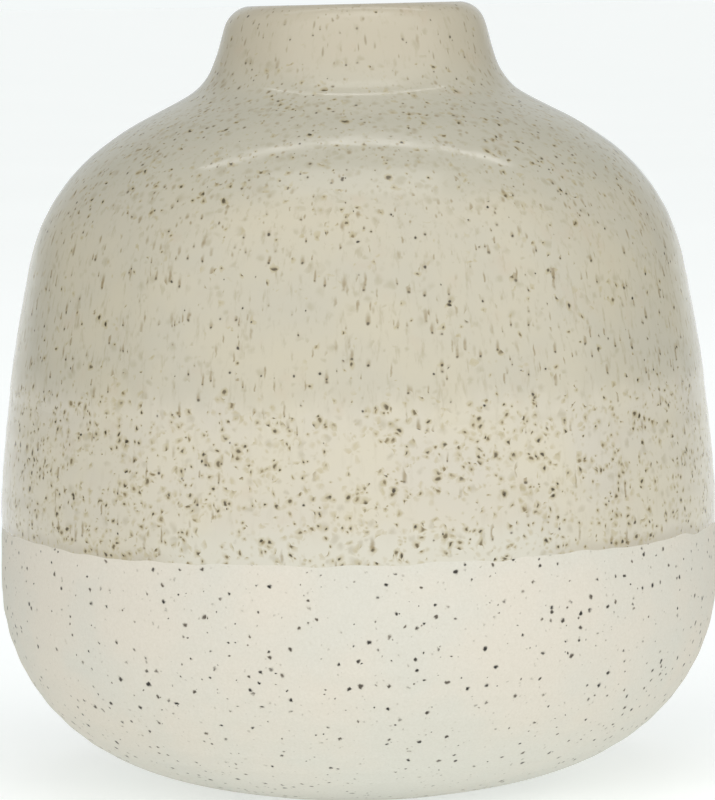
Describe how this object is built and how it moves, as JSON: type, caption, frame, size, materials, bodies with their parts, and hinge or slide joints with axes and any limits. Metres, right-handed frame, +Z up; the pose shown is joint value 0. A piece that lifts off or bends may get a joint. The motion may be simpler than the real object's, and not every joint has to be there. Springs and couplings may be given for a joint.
{
  "type": "pottery vase",
  "caption": "Round-bellied stoneware vase with a short neck and rolled lip, speckled glaze over its upper part and bare speckled clay below.",
  "frame": {"origin": "centre of the foot, on the surface that the vase stands on", "axes": "+Z up along the vase's axis, from the foot to the mouth; -Y towards the viewer"},
  "size_m": [0.1451, 0.1452, 0.1579],
  "materials": {
    "bare_clay": "unglazed speckled stoneware, fine matte grain",
    "joint_slip": "fired slip, matte",
    "first_coat": "glossy cream glaze with dense brown iron specks",
    "second_coat": "glossy grey-cream glaze, thicker, with fine specks that run in streaks",
    "lining": "glossy cream glaze with fine specks"
  },
  "bodies": {
    "root": {"lower_bowl": "bare_clay", "belly_slip": "joint_slip", "shoulder_section": "bare_clay", "neck_slip": "joint_slip", "neck_collar": "bare_clay", "first_glaze": "first_coat", "second_glaze": "second_coat", "lining_glaze": "lining"}
  },
  "joints": []
}
